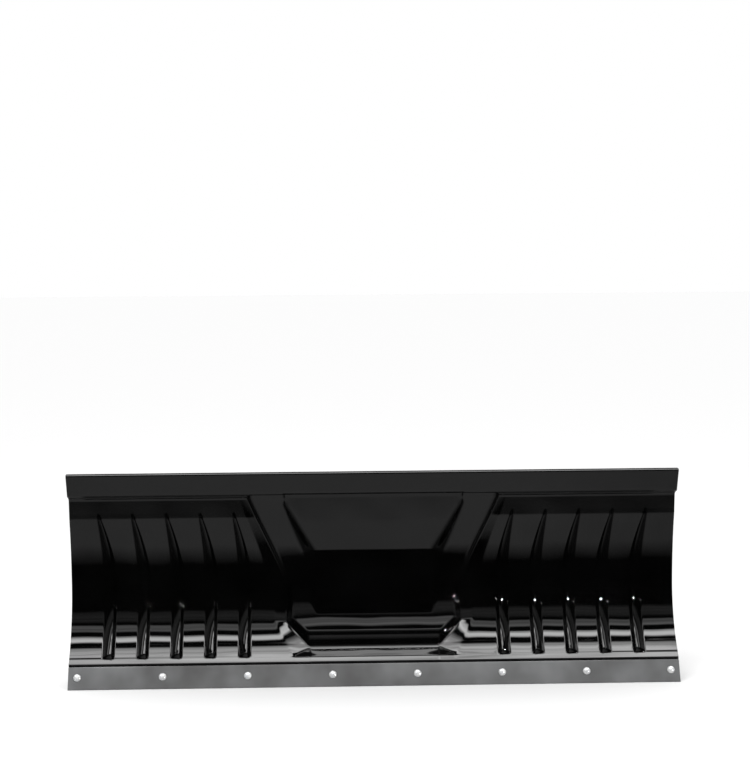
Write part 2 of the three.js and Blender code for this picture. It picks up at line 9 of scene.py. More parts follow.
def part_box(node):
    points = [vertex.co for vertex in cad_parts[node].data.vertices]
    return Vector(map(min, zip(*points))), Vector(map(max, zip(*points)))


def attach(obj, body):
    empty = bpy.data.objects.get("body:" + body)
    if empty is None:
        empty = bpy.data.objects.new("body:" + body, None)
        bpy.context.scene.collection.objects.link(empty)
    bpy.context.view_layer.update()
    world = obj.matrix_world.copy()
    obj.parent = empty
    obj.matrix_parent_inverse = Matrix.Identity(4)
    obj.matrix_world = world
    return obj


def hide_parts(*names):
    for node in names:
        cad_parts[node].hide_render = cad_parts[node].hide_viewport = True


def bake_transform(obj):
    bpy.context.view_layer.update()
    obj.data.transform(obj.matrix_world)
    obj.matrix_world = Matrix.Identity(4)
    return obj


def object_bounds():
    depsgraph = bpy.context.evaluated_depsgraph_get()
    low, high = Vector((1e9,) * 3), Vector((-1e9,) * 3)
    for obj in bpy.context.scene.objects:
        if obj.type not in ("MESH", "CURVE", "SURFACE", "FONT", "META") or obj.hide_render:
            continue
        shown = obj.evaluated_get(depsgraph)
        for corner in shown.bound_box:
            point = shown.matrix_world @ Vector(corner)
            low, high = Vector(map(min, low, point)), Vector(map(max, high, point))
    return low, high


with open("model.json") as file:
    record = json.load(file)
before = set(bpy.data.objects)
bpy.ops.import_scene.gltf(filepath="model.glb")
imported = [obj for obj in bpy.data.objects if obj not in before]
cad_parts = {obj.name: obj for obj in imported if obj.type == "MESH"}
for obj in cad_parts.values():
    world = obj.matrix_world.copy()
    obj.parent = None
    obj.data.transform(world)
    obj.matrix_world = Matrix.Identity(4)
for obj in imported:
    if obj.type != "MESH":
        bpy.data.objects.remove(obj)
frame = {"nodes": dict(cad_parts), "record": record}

cad_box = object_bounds()
scene = bpy.context.scene
scene.view_settings.view_transform = "Standard"

# ---------------------------------------------------------------- camera

CAMERA_PLACE = Vector((-0.123, -4.4, 0.9))
CAMERA_YAW, CAMERA_PITCH, CAMERA_ROLL = -1.736, -3.318, -0.447


def turn(angle, axis):
    return Matrix.Rotation(math.radians(angle), 4, axis)


camera = bpy.data.objects.new("camera", bpy.data.cameras.new("camera"))
scene.collection.objects.link(camera)
camera.data.lens = 92.96
camera.data.sensor_width = 36.0
camera.matrix_world = (Matrix.Translation(CAMERA_PLACE) @ turn(CAMERA_YAW, "Z")
                       @ turn(90 + CAMERA_PITCH, "X") @ turn(CAMERA_ROLL, "Z"))
scene.camera = camera

# ---------------------------------------------------------------- node helpers


class Tree:
    """A shader node tree with short calls for adding and joining nodes."""

    def __init__(self, tree):
        self.tree = tree
        tree.nodes.clear()

    def add(self, kind, inputs=None, **settings):
        node = self.tree.nodes.new("ShaderNode" + kind)
        for name, value in settings.items():
            setattr(node, name, value)
        for name, value in (inputs or {}).items():
            self.put(node.inputs[name], value)
        return node

    def put(self, socket, value):
        if isinstance(value, bpy.types.NodeSocket):
            self.tree.links.new(value, socket)
        else:
            socket.default_value = value

    def math(self, operation, *values):
        node = self.add("Math", operation=operation)
        for socket, value in zip(node.inputs, values):
            self.put(socket, value)
        return node.outputs[0]

    def noise(self, vector, scale, detail=2.0, roughness=0.5):
        wanted = {"Vector": vector, "Scale": scale, "Detail": detail, "Roughness": roughness}
        return self.add("TexNoise", wanted).outputs["Fac"]

    def span(self, value, low, high, to_low=0.0, to_high=1.0):
        wanted = {"Value": value, "From Min": low, "From Max": high, "To Min": to_low, "To Max": to_high}
        return self.add("MapRange", wanted, clamp=True).outputs[0]

    def mix(self, share, first, second):
        node = self.add("Mix", data_type="RGBA")
        for socket, value in ((node.inputs[0], share), (node.inputs[6], first), (node.inputs[7], second)):
            self.put(socket, value)
        return node.outputs[2]


def grey(level, warmth=0.0):
    return (level * (1 + warmth), level, level * (1 - warmth), 1.0)


# ---------------------------------------------------------------- studio

# What gloss mirrors: a pale floor, a dim room and lights on the ceiling that run along the blade. Heights
# are in degrees above the horizon. A light has the height of its middle, half its width and its strength.
FLOOR_LIGHT, FLOOR_END, FLOOR_BLUR = 0.25, -25, 5
ROOM_LIGHT = 0.004
CEILING_LIGHTS = {
    "far_wash": (30, 8, 0.12),
    "far_strip": (45, 5, 0.8),
    "near_strip": (60, 5, 4.0),
    "overhead_panel": (90, 22, 4.0),
}
SOFT_EDGE = 0.5  # the share of a light's half width over which it fades out
# The floor in front fades towards the sides, between these shares of a direction that lie along the blade.
FLOOR_FADE_START, FLOOR_FADE_END, FLOOR_FADE_LEFT = 0.1, 0.5, 0.1
LIGHT_DRIFT = 4.0  # how far the lights wander from straight, in degrees
STREAK_SCALE, STREAK_LOW, STREAK_HIGH = 1.6, 0.6, 1.4  # unevenness along the lights
SOFT_LIGHT, BACKDROP_LIGHT = 1.05, 1.0


def make_room():
    """Rough surfaces get an even soft light, gloss mirrors the room, and the backdrop is plain white."""
    world = bpy.data.worlds.new("studio")
    scene.world = world
    world.use_nodes = True
    tree = Tree(world.node_tree)
    direction = tree.add("TexCoord").outputs["Generated"]
    parts = tree.add("SeparateXYZ", {"Vector": direction}).outputs
    height = tree.math("MULTIPLY", tree.math("ARCSINE", parts["Z"]), 180 / math.pi)
    drift_place = tree.add("CombineXYZ", {"X": parts["X"], "Y": parts["Y"]}).outputs[0]
    drift = tree.math("SUBTRACT", tree.noise(drift_place, 2.0, 1.0), 0.5)
    wandering = tree.math("ADD", height, tree.math("MULTIPLY", drift, LIGHT_DRIFT))
    lights = ROOM_LIGHT
    for middle, half_width, strength in CEILING_LIGHTS.values():
        away = tree.math("ABSOLUTE", tree.math("SUBTRACT", wandering, middle))
        light = tree.span(away, half_width, half_width * (1 - SOFT_EDGE), 0.0, strength)
        lights = tree.math("ADD", lights, light)
    streak_place = tree.add("CombineXYZ", {"X": parts["X"], "Y": parts["Y"],
                                           "Z": tree.math("MULTIPLY", height, 0.16)}).outputs[0]
    streaks = tree.span(tree.noise(streak_place, STREAK_SCALE, 3.0, 0.6), 0.36, 0.64, STREAK_LOW, STREAK_HIGH)
    ceiling = tree.math("MULTIPLY", lights, streaks)
    aside = tree.math("ABSOLUTE", parts["X"])
    reach = tree.span(aside, FLOOR_FADE_START, FLOOR_FADE_END, 1.0, FLOOR_FADE_LEFT)
    floor = tree.span(height, FLOOR_END + FLOOR_BLUR, FLOOR_END - FLOOR_BLUR, 0.0, FLOOR_LIGHT)
    radiance = tree.math("ADD", ceiling, tree.math("MULTIPLY", floor, reach))
    mirrored = tree.add("Background", {"Color": grey(1.0), "Strength": radiance}).outputs[0]
    soft = tree.add("Background", {"Color": grey(1.0), "Strength": SOFT_LIGHT}).outputs[0]
    seen = tree.add("Background", {"Color": grey(1.0), "Strength": BACKDROP_LIGHT}).outputs[0]
    path = tree.add("LightPath").outputs
    lit = tree.add("MixShader", {0: path["Is Glossy Ray"], 1: soft, 2: mirrored}).outputs[0]
    whole = tree.add("MixShader", {0: path["Is Camera Ray"], 1: lit, 2: seen}).outputs[0]
    tree.add("OutputWorld", {"Surface": whole})


def area_light(name, place, target, size, power, glossy):
    data = bpy.data.lights.new(name, "AREA")
    data.shape = "DISK"
    data.size = size
    data.energy = power
    light = bpy.data.objects.new(name, data)
    scene.collection.objects.link(light)
    aim = (Vector(target) - Vector(place)).to_track_quat("-Z", "Y")
    light.matrix_world = Matrix.Translation(place) @ aim.to_matrix().to_4x4()
    light.visible_glossy = glossy
    light.visible_camera = False


make_room()
area_light("soft_key", (-1.6, -2.6, 3.2), (0, 0, 0.2), 3.0, 60, glossy=False)
area_light("side_lamp", (3.4, -3.4, 1.3), (0, 0, 0.2), 0.1, 40, glossy=True)

# ---------------------------------------------------------------- materials


def finish(name, colour, roughness, metallic=0.0, coat=0.0, coat_roughness=0.03, specular=0.5):
    """A new material, its tree, its principled shader and its object coordinates."""
    material = bpy.data.materials.new(name)
    material.use_nodes = True
    tree = Tree(material.node_tree)
    shader = tree.add("BsdfPrincipled", {"Base Color": colour, "Roughness": roughness, "Metallic": metallic,
                                         "Coat Weight": coat, "Coat Roughness": coat_roughness,
                                         "Specular IOR Level": specular})
    tree.add("OutputMaterial", {"Surface": shader.outputs[0]})
    place = tree.add("TexCoord").outputs["Object"]
    return material, tree, shader, place


def bump(tree, shader, height, strength, distance, coat=False):
    wanted = {"Height": height, "Strength": strength, "Distance": distance}
    normal = tree.add("Bump", wanted).outputs[0]
    tree.put(shader.inputs["Normal"], normal)
    if coat:
        tree.put(shader.inputs["Coat Normal"], normal)


def make_enamel(name, roughness, peel, dark, pale, cloud):
    """Gloss black paint: dark and pale are its base levels, and cloud the scale of the patches between them;
    pale patches well above black are painted reflection.
    """
    material, tree, shader, place = finish(name, grey(dark), roughness, coat=1.0, coat_roughness=0.03)
    tone_and_painted_reflection = tree.noise(place, cloud, 3)
    # Where pale is far above dark, as on the wear bar, these pale clouds are painted reflection of the
    # ceiling lights.
    shade = tree.mix(tree.span(tone_and_painted_reflection, 0.35, 0.7), grey(dark), grey(pale, -0.02))
    tree.put(shader.inputs["Base Color"], shade)
    wear = tree.span(tree.noise(place, 14, 4), 0.3, 0.7, roughness * 0.8, roughness * 1.3)
    tree.put(shader.inputs["Roughness"], wear)
    waves = tree.noise(place, 420, 2)
    bump(tree, shader, waves, peel, 0.00006, coat=True)
    return material


def make_powder(name):
    material, tree, shader, place = finish(name, grey(0.045), 0.42, specular=0.5)
    dust = tree.noise(place, 16, 5, 0.65)
    dusty = tree.mix(tree.span(dust, 0.45, 0.75), grey(0.036), grey(0.06, 0.03))
    tree.put(shader.inputs["Base Color"], dusty)
    tree.put(shader.inputs["Roughness"], tree.span(tree.noise(place, 40, 4), 0.3, 0.7, 0.34, 0.5))
    grain = tree.add("TexVoronoi", {"Vector": place, "Scale": 700.0}).outputs["Distance"]
    bump(tree, shader, grain, 0.25, 0.00012)
    return material


def make_zinc(name):
    material, tree, shader, place = finish(name, grey(0.85), 0.24, metallic=0.5)
    spangle = tree.add("TexVoronoi", {"Vector": place, "Scale": 260.0}).outputs["Color"]
    mottled = tree.add("SeparateXYZ", {"Vector": spangle}).outputs[0]
    tree.put(shader.inputs["Base Color"], tree.mix(mottled, (0.80, 0.82, 0.85, 1), (0.92, 0.92, 0.90, 1)))
    tree.put(shader.inputs["Roughness"], tree.span(tree.noise(place, 90, 4), 0.3, 0.7, 0.18, 0.36))
    bump(tree, shader, tree.noise(place, 900, 3), 0.12, 0.00005)
    return material


def make_spring_steel(name):
    material, tree, shader, place = finish(name, grey(0.34), 0.3, metallic=1.0)
    drawn = tree.noise(place, 70, 5, 0.7)
    tree.put(shader.inputs["Base Color"], tree.mix(tree.span(drawn, 0.35, 0.7), grey(0.22, 0.02), grey(0.44)))
    tree.put(shader.inputs["Roughness"], tree.span(tree.noise(place, 150, 3), 0.3, 0.7, 0.24, 0.42))
    bump(tree, shader, drawn, 0.15, 0.00008)
    return material


def make_cast(name):
    material, tree, shader, place = finish(name, grey(0.02), 0.6, specular=0.4)
    pits = tree.noise(place, 240, 4, 0.65)
    tree.put(shader.inputs["Base Color"], tree.mix(tree.span(tree.noise(place, 30, 5), 0.4, 0.7),
                                                   grey(0.014), grey(0.034, 0.03)))
    tree.put(shader.inputs["Roughness"], tree.span(pits, 0.3, 0.7, 0.48, 0.72))
    bump(tree, shader, pits, 0.5, 0.0004)
    return material


def make_rubber(name):
    material, tree, shader, place = finish(name, grey(0.018), 0.75, specular=0.3)
    grain = tree.noise(place, 500, 4)
    tree.put(shader.inputs["Base Color"], tree.mix(tree.noise(place, 50, 4), grey(0.013), grey(0.028)))
    bump(tree, shader, grain, 0.4, 0.0002)
    return material


def make_bronze(name):
    material, tree, shader, place = finish(name, (0.42, 0.22, 0.08, 1), 0.35, metallic=1.0)
    tarnish = tree.noise(place, 120, 4)
    tree.put(shader.inputs["Base Color"], tree.mix(tarnish, (0.30, 0.15, 0.05, 1), (0.52, 0.30, 0.12, 1)))
    bump(tree, shader, tree.noise(place, 600, 3), 0.2, 0.0001)
    return material


ENAMEL = make_enamel("gloss_enamel", 0.045, 0.06, 0.0004, 0.0012, 9)
# The wear bar is black enamel too: its pale grey clouds are painted reflection.
BAR_ENAMEL_PAINTED_REFLECTION = make_enamel("bar_enamel_painted_reflection", 0.2, 0.22, 0.06, 0.15, 7)
POWDER = make_powder("satin_powder_coat")
ZINC = make_zinc("zinc_plate")
SPRING = make_spring_steel("spring_steel")
CAST = make_cast("cast_steel")
RUBBER = make_rubber("rubber")
BRONZE = make_bronze("bronze")

FINISHES = {"black_enamel": ENAMEL, "frame_black": POWDER, "zinc_plate": ZINC, "spring_steel": SPRING,
            "cast_steel": CAST, "rubber": RUBBER, "bronze": BRONZE}

# ---------------------------------------------------------------- design sizes, as in the CAD (millimetres)

MM = 0.001
GAP = 0.3
BLADE_HALF = 660.0
SHEET = 3.0
BAR_LEAN = math.radians(-27)
BAR_HEIGHT, BAR_THICK = 51.0, 6.0
BACKING = (9.0, 45.0, 5.0)  # bottom, top, thickness
BOLT_PITCH, BOLT_UP, BOLT_COUNT, BOLT_HOLE = 183.0, 27.0, 8, 4.7
DESIGN_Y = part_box("wear_bar")[0].y / MM  # the design's Y 0, in the row frame


def place_mm(points):
    """Design points in millimetres as row-frame points in metres."""
    table = np.asarray(points, float) * MM
    table[..., 1] += DESIGN_Y * MM
    return table


def bar_point(up, out=0.0):
    return (-up * math.sin(BAR_LEAN) - out * math.cos(BAR_LEAN),
            up * math.cos(BAR_LEAN) - out * math.sin(BAR_LEAN))


# ---------------------------------------------------------------- mouldboard

CURL_DEPTH, CURL_HEIGHT, LOWER_RADIUS, UPPER_RADIUS = 106.0, 205.6, 190.0, 460.0
BAND_LEAN = math.radians(26)
STRIP_OUT, LIP_UP, LIP_OUT, LIP_RADIUS = -6.3, 56.8, -1.3, 4.0  # behind the bar, and where the curl starts
CURL_START, FOOT_LEAN = 63.3, math.radians(-48.5)  # the sheet is straight below the curl
FLANGE_OUTER, FLANGE_LENGTH = 3.5, 16.0
BAND_PROUD, BAND_FOOT, BAND_CREST = 8.5, 396.0, 414.0
FLANGE_RADIUS = FLANGE_OUTER - BAND_PROUD
BAND_END = 459.9 - BAND_PROUD - FLANGE_RADIUS * (1 + math.sin(BAND_LEAN))
POCKET_FROM, POCKET_LEAN = 355.0, math.radians(7.8)
PANEL_PROUD, SWELL_FROM, SWELL_TO, PANEL_FOOT, PANEL_CREST = 19.0, 300.0, 110.0, 79.0, 98.0
FACET_Y, FACET_CREASE, FACET_TOP, FACET_TOP_Y = 77.0, 284.0, 410.0, 52.0
FACET_FOOT, FACET_CREST = 406.5, 418.5
BORDER_DEPTH = ((79, 3.5), (130, 6.5), (205, 7.0), (300, 6.0), (405, 0))
BORDER_FOOT = 58.0
GILLS, GILL_FIRST, GILL_PITCH, GILL_HEIGHT, GILL_WALL, GILL_RAMP = 5, 270.0, 73.3, 11.0, 6.0, 26.0
GILL_FOOT, GILL_FOOT_TOP, GILL_FROM, GILL_TO, GILL_FALL = 58.5, 61.5, 75.0, 366.0, 0.7
GILL_SWEEP, GILL_SWEEP_FROM, GILL_SWEEP_SCALE = 34.0, 235.0, 140.0
GILL_SWEEP_POWER, GILL_END_SWEEP = 1.4, 0.37

# Lines of the pressed pattern, as pairs of a height and a distance from the middle, or a width.
WALL_FOOT = ((79, 141), (128, 190), (205, 187), (405, 277))
WALL_WIDTH = ((98, 14), (128, 10), (205, 9), (260, 8))
BORDER_EDGE = ((58, 176), (118, 212), (130, 217), (205, 219), (405, 294))
FACET_INNER = ((98, 112), (142, 122), (200, 128), (288, 128), (390, 191), (420, 191))
FACET_OUTER = ((98, 118), (142, 128), (200, 142), (280, 151), (390, 195), (420, 194))


def along(pairs, at):
    return np.interp(at, [p for p, _ in pairs], [v for _, v in pairs])


def eased(value):
    t = np.clip(value, 0, 1)
    return t * t * (3 - 2 * t)


def hinge_line(value, radius):
    """max(value, 0) with its corner rounded over plus and minus radius."""
    return np.where(value < -radius, 0, np.where(value > radius, value, (value + radius) ** 2 / (4 * radius)))


def step(value, radius):
    """0 to 1 as value goes from 0 to 1, with both corners rounded."""
    return hinge_line(value, radius) - hinge_line(value - 1, radius)


def soft_max(a, b, radius):
    return np.maximum(a, b) + np.maximum(0, radius - np.abs(a - b)) ** 2 / (4 * radius)


def soft_min(a, b, radius):
    return -soft_max(-a, -b, radius)


def curl_lean(z):
    return math.asin((z - CURL_HEIGHT) / (LOWER_RADIUS if z < CURL_HEIGHT else UPPER_RADIUS))


def curl_y(z):
    radius = LOWER_RADIUS if z < CURL_HEIGHT else UPPER_RADIUS
    return CURL_DEPTH - radius * (1 - math.cos(curl_lean(z)))


def heights_between(stops):
    """Heights from [height, spacing up to the next] pairs; the last spacing isn't used."""
    found = []
    for (low, spacing), (high, _) in zip(stops, stops[1:]):
        count = max(1, round((high - low) / spacing))
        found += [low + (high - low) * i / count for i in range(count)]
    return found + [stops[-1][0]]


def profile_rows():
    """The unpressed side profile from the bar to the top flange: (y, z, lean, fixed height)."""
    rows = [(*bar_point(up), BAR_LEAN, STRIP_OUT) for up in (8, 9, 30, 48, 51.3)]
    turn_by = FOOT_LEAN - BAR_LEAN
    bend_start = LIP_UP - LIP_RADIUS * math.tan(-turn_by / 2)
    for i in range(1, 9):
        out = STRIP_OUT + (LIP_OUT - STRIP_OUT) * float(eased(i / 8))
        rows.append((*bar_point(51.3 + (bend_start - 51.3) * i / 8), BAR_LEAN, out))
    y, z = bar_point(bend_start, LIP_OUT)
    for i in range(1, 5):
        lean = BAR_LEAN + turn_by * i / 4
        rows.append((y + LIP_RADIUS * (math.cos(BAR_LEAN) - math.cos(lean)),
                     z + LIP_RADIUS * (math.sin(-lean) - math.sin(-BAR_LEAN)), lean, None))
    for z in heights_between([(rows[-1][1] + 1.2, 1.2), (57, 0.75), (CURL_START - 0.75, 1)]):
        rows.append((curl_y(CURL_START) - (CURL_START - z) * math.tan(-FOOT_LEAN), z, rows[-1][2], None))
    curl_top = CURL_HEIGHT + UPPER_RADIUS * math.sin(BAND_LEAN)
    for z in heights_between([(CURL_START, 1.7), (76, 1.1), (101, 2), (200, 2.6), (278, 1.6), (290, 3),
                              (349, 1.2), (362, 2.4), (397, 1.0), (curl_top, 1)]):
        rows.append((curl_y(z), z, curl_lean(z), None))
    band_y = curl_y(curl_top)
    for z in heights_between([(curl_top + 0.9, 0.9), (421, 4), (BAND_END, 1)]):
        rows.append((band_y - (z - curl_top) * math.tan(BAND_LEAN), z, BAND_LEAN, None))
    end_y = rows[-1][0]
    for i in range(1, 9):
        lean = BAND_LEAN + (math.radians(-90) - BAND_LEAN) * i / 8
        rows.append((end_y - FLANGE_RADIUS * (math.cos(lean) - math.cos(BAND_LEAN)),
                     BAND_END - FLANGE_RADIUS * (math.sin(lean) - math.sin(BAND_LEAN)), lean, None))
    flange_y, flange_z, flange_lean, _ = rows[-1]
    for run in (5, 10, FLANGE_LENGTH):
        rows.append((flange_y + run, flange_z, flange_lean, None))
    return rows


def gill_edges(k, z):
    """Distances of a gill's wall foot, crest and outer end from the middle; the gill closes as it rises."""
    rise = max(0.0, min(z, GILL_TO) - GILL_SWEEP_FROM)
    sweep = GILL_SWEEP * (rise / GILL_SWEEP_SCALE) ** GILL_SWEEP_POWER
    start = GILL_FIRST + GILL_PITCH * k
    left = min(1.0, max(0.0, (GILL_TO - z) / (GILL_TO - GILL_FROM)))
    crest = start + sweep + GILL_WALL * (0.3 + 0.7 * left)
    return start + sweep, crest, start + GILL_RAMP + GILL_END_SWEEP * sweep


def column_lines(z):
    """Distances from the middle of the columns at one height, close together where the pattern bends."""
    at = min(z, 420.0)
    foot = along(WALL_FOOT, at)
    marks = [(0, 8, 0), (64, 12, 0), (along(FACET_INNER, at), 6, 0), (along(FACET_OUTER, at), 10, 1),
             (foot - along(WALL_WIDTH, at), 10, 1), (foot, 12, 1), (along(BORDER_EDGE, at), 10, 1)]
    for k in range(GILLS):
        marks += [(edge, count, 1) for edge, count in zip(gill_edges(k, at), (8, 11, 13))]
    marks.append((BLADE_HALF, 0, 0))
    found = []
    for (low, count, close), (high, _, _) in zip(marks, marks[1:]):
        for i in range(count):
            share = i / count
            eased_share = 0.5 - 0.5 * math.cos(math.pi * share)
            found.append(low + (high - low) * (0.35 * share + 0.65 * eased_share if close else share))
    return found + [BLADE_HALF]


def pressed_height(u, y, z, lean):
    """Height of the pressed surface over the profile at distances u from the middle."""
    z = min(z, BAND_END)
    foot_u = along(WALL_FOOT, z)
    width = along(WALL_WIDTH, z)
    across = step((foot_u - u) / width, 0.32)
    up = step((z - PANEL_FOOT) / (PANEL_CREST - PANEL_FOOT), 0.3)
    top = step((z - BAND_FOOT) / (BAND_CREST - BAND_FOOT), 0.1)
    share = soft_max(soft_min(across, up, 0.25), top, 0.05)

    pocket = 0.0
    if z > POCKET_FROM - 8:
        kink_y = curl_y(POCKET_FROM)
        line_y = kink_y - (z - POCKET_FROM) * math.tan(POCKET_LEAN)
        base_y = curl_y(min(z, CURL_HEIGHT + UPPER_RADIUS * math.sin(BAND_LEAN)))
        depth = (line_y - base_y) / (math.cos(lean) + math.sin(lean) * math.tan(POCKET_LEAN))
        pocket = -soft_max(depth, 0.0, 0.8)

    edge = along(BORDER_EDGE, z)
    below = float(step((z - BORDER_FOOT) / (PANEL_FOOT - BORDER_FOOT), 0.08))
    border = -along(BORDER_DEPTH, z) * soft_min(step((edge - u) / (edge - foot_u), 0.09), below, 0.1)

    foot = float(step((z - GILL_FOOT) / (GILL_FOOT_TOP - GILL_FOOT), 0.3))
    left = min(1.0, max(0.0, (GILL_TO - z) / (GILL_TO - GILL_FROM)))
    gill = 0.0
    for k in range(GILLS):
        wall_foot, crest, end = gill_edges(k, z)
        rising = (u - wall_foot) / (crest - wall_foot)
        falling = 1 - np.clip((u - crest) / (end - crest), 0, 1) ** 1.6
        gill = gill + hinge_line(soft_min(rising, falling, 0.18), 0.06)
    gill = gill * GILL_HEIGHT * foot * left ** GILL_FALL

    low = pocket + border + gill
    swell = float(eased((SWELL_FROM - z) / (SWELL_FROM - SWELL_TO)))
    raised = BAND_PROUD + (PANEL_PROUD - BAND_PROUD) * swell
    if z > FACET_CREST + 6:
        return low + (raised - low) * share
    slope = (FACET_Y - FACET_TOP_Y) / (FACET_TOP - FACET_CREASE)
    upright = (y - FACET_Y) / math.cos(lean)
    leaning = (y - FACET_Y + (z - FACET_CREASE) * slope) / (math.cos(lean) + math.sin(lean) * slope)
    chord = float(soft_max(upright, leaning, 0.3)) - raised
    rise = chord if z > FACET_CREASE else float(hinge_line(chord, 0.8))
    inner, outer = along(FACET_INNER, z), along(FACET_OUTER, z)
    facet = step((outer - u) / max(outer - inner, 1.0), 0.3)
    facet_top = float(step((FACET_CREST - z) / (FACET_CREST - FACET_FOOT), 0.25))
    return low + (raised - low) * share + rise * soft_min(facet, facet_top, 0.1)


def grid_sheet(name, front, back, material, sharp):
    """A closed sheet from two grids of points, rows by columns, with columns to the right from the front."""
    rows, columns = front.shape[:2]
    points = np.concatenate([front.reshape(-1, 3), back.reshape(-1, 3)])
    number = np.arange(rows * columns).reshape(rows, columns)
    behind = number + rows * columns

    def quads(a, b, c, d):
        return np.stack([a.ravel(), b.ravel(), c.ravel(), d.ravel()], 1)

    faces = np.concatenate([
        quads(number[:-1, :-1], number[:-1, 1:], number[1:, 1:], number[1:, :-1]),
        quads(behind[:-1, :-1], behind[1:, :-1], behind[1:, 1:], behind[:-1, 1:]),
        quads(number[:-1, 0], number[1:, 0], behind[1:, 0], behind[:-1, 0]),
        quads(number[:-1, -1], behind[:-1, -1], behind[1:, -1], number[1:, -1]),
        quads(number[0, :-1], behind[0, :-1], behind[0, 1:], number[0, 1:]),
        quads(number[-1, :-1], number[-1, 1:], behind[-1, 1:], behind[-1, :-1]),
    ])
    return mesh_piece(name, points, faces, material, sharp)


def mesh_piece(name, points, faces, material, sharp=40):
    mesh = bpy.data.meshes.new(name)
    mesh.from_pydata([tuple(p) for p in points], [], [tuple(f) for f in faces])
    mesh.validate()
    piece = bpy.data.objects.new(name, mesh)
    scene.collection.objects.link(piece)
    mesh.materials.append(material)
    mesh.shade_smooth()
    if sharp is not None:
        mesh.set_sharp_from_angle(angle=math.radians(sharp))
    return piece


def fit(piece, body, slot, *nodes):
    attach(piece, body)
    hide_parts(*nodes)


def sheet_ripple(u, z):
    """The slight waviness of a pressed sheet, in millimetres."""
    return (0.10 * np.sin(u / 41 + 0.9) * math.sin(z / 23 + 0.4) + 0.07 * np.sin(u / 23 + z / 17)
            + 0.05 * np.sin(u / 11.3 - z / 31 + 2))


def make_mouldboard():
    front, back = [], []
    for y, z, lean, fixed in profile_rows():
        half = np.array(column_lines(z))
        x = np.concatenate([-half[:0:-1], half])
        if fixed is None:
            height = pressed_height(np.abs(x), y, z, lean)
            height = height + sheet_ripple(x, z) * float(eased((z - 52) / 25)) * float(eased((455 - z) / 15))
        else:
            height = np.full(len(x), fixed)
        for grid, off in ((front, 0.0), (back, -SHEET)):
            reach = height + off
            grid.append(np.stack([x, y - math.cos(lean) * reach, z - math.sin(lean) * reach], 1))
    sheet = grid_sheet("mouldboard_sheet", place_mm(np.array(front)), place_mm(np.array(back)), ENAMEL, 62)
    fit(sheet, "blade", "black_enamel", "mouldboard")


make_mouldboard()

# ---------------------------------------------------------------- general shapes


def plate_mesh(name, outline, holes, thickness, edge, material, sharp=35):
    """A flat plate in its own XY plane with rounded edges: outline and holes are in millimetres."""
    curve = bpy.data.curves.new(name, "CURVE")
    curve.dimensions = "2D"
    curve.fill_mode = "BOTH"
    curve.extrude = (thickness / 2 - edge) * MM
    curve.bevel_depth = edge * MM
    curve.bevel_resolution = 2
    curve.offset = -edge * MM
    rings = [outline]
    for a, b, radius in holes:
        ring = [(a + radius * math.cos(t), b + radius * math.sin(t))
                for t in np.linspace(0, 2 * math.pi, 33)[:-1]]
        rings.append(ring)
    for ring in rings:
        spline = curve.splines.new("POLY")
        spline.points.add(len(ring) - 1)
        spline.use_cyclic_u = True
        for point, (a, b) in zip(spline.points, ring):
            point.co = (a * MM, b * MM, 0, 1)
    holder = bpy.data.objects.new(name, curve)
    scene.collection.objects.link(holder)
    bpy.context.view_layer.update()
    mesh = bpy.data.meshes.new_from_object(holder.evaluated_get(bpy.context.evaluated_depsgraph_get()))
    bpy.data.objects.remove(holder)
    bpy.data.curves.remove(curve)
    mesh.name = name
    mesh.materials.clear()
    mesh.materials.append(material)
    mesh.shade_smooth()
    mesh.set_sharp_from_angle(angle=math.radians(sharp))
    return mesh


def piece_of(name, mesh, place=None):
    """A piece from a mesh, which is moved to its place first."""
    piece = bpy.data.objects.new(name, mesh)
    scene.collection.objects.link(piece)
    if place is not None:
        mesh.transform(place)
    return piece


def shift(x, y, z):
    """A move to a design point given in millimetres."""
    return Matrix.Translation((x * MM, (y + DESIGN_Y) * MM, z * MM))


def lathe(name, profile, material, segments=40, sharp=35):
    """A turned mesh about Z from [radius, height] pairs in millimetres, closing on the axis or on itself."""
    closed = tuple(profile[0]) == tuple(profile[-1])
    rings = profile[:-1] if closed else profile
    points, faces, first = [], [], []
    for radius, height in rings:
        first.append(len(points))
        if radius == 0:
            points.append((0, 0, height * MM))
        else:
            points += [(radius * MM * math.cos(2 * math.pi * i / segments),
                        radius * MM * math.sin(2 * math.pi * i / segments), height * MM)
                       for i in range(segments)]
    pairs = list(zip(range(len(rings)), range(1, len(rings))))
    if closed:
        pairs.append((len(rings) - 1, 0))
    for low, high in pairs:
        for i in range(segments):
            j = (i + 1) % segments
            a, b = first[low], first[high]
            if rings[low][0] == 0:
                faces.append((a, b + j, b + i))
            elif rings[high][0] == 0:
                faces.append((a + i, a + j, b))
            else:
                faces.append((a + i, a + j, b + j, b + i))
    mesh = bpy.data.meshes.new(name)
    mesh.from_pydata(points, [], faces)
    mesh.validate()
    mesh.materials.append(material)
    mesh.shade_smooth()
    mesh.set_sharp_from_angle(angle=math.radians(sharp))
    return mesh


# The bar's own axes: local X along the blade, local Y up the bar, local Z out of its front face.
BAR_AXES = Matrix(((1, 0, 0, 0),
                   (0, -math.sin(BAR_LEAN), -math.cos(BAR_LEAN), DESIGN_Y * MM),
                   (0, math.cos(BAR_LEAN), -math.sin(BAR_LEAN), 0),
                   (0, 0, 0, 1)))
BOLT_PLACES = [(i - (BOLT_COUNT - 1) / 2) * BOLT_PITCH for i in range(BOLT_COUNT)]


